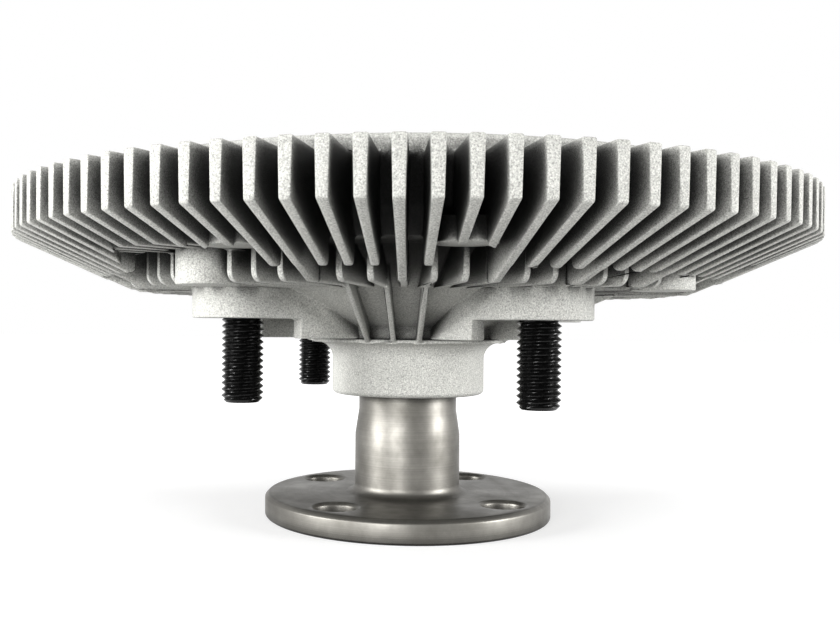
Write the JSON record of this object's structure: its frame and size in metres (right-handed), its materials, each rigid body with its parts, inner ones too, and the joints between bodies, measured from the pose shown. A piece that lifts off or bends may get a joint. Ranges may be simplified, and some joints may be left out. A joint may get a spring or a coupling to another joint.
{
  "type": "viscous fan clutch",
  "caption": "Viscous fan clutch: finned aluminium housing with studded fan ears, spinning on a sealed bearing about a flanged steel shaft, with a thermostat coil on its front cover.",
  "frame": {"origin": "middle of the flange's lower face, on the shaft's axis", "axes": "+Z along the shaft towards the front cover; the fan studs lie on the diagonals of X and Y"},
  "size_m": [0.2, 0.2, 0.0988],
  "materials": {
    "cast_aluminium": "blasted casting",
    "turned_steel": "turned, dull",
    "black_steel": "black oxide, oiled",
    "bright_steel": "ground",
    "brass": "pressed",
    "rubber": "matt",
    "bimetal": "rolled strip"
  },
  "bodies": {
    "shaft": {"drive_shaft": "turned_steel", "bearing_inner_race": "bright_steel", "rotor": "cast_aluminium", "rotor_lock_ring": "turned_steel"},
    "housing": {"rear_housing": "cast_aluminium", "front_cover": "cast_aluminium", "cover_seal": "rubber", "fan_studs": "black_steel", "bearing_outer_race": "bright_steel", "bearing_seal_lower": "rubber", "bearing_seal_upper": "rubber", "divider_plate": "bright_steel", "divider_rivets": "bright_steel", "wiper_block": "bright_steel", "bimetal_coil": "bimetal", "bimetal_anchor": "bright_steel"},
    "ball_set": {"bearing_balls": "bright_steel", "bearing_cage": "brass"},
    "valve": {"valve_shaft": "bright_steel", "valve_arm": "bright_steel", "valve_shaft_seal": "rubber"}
  },
  "joints": [
    {"name": "housing_spin", "type": "hinge", "parent": "shaft", "child": "housing", "pos_m": [0, 0, 0.043], "axis": [0, 0, 1], "continuous": true},
    {"name": "ball_spin", "type": "hinge", "parent": "shaft", "child": "ball_set", "pos_m": [0, 0, 0.043], "axis": [0, 0, 1], "continuous": true},
    {"name": "valve_turn", "type": "hinge", "parent": "housing", "child": "valve", "pos_m": [0, 0, 0.09], "axis": [0, 0, 1], "range_deg": [0, 35], "stiffness_Nm_per_rad": 0.02, "deforming": ["bimetal_coil"]}
  ],
  "couplings": [
    {"joint": "ball_spin", "follows": "housing_spin", "ratio": 0.627}
  ]
}
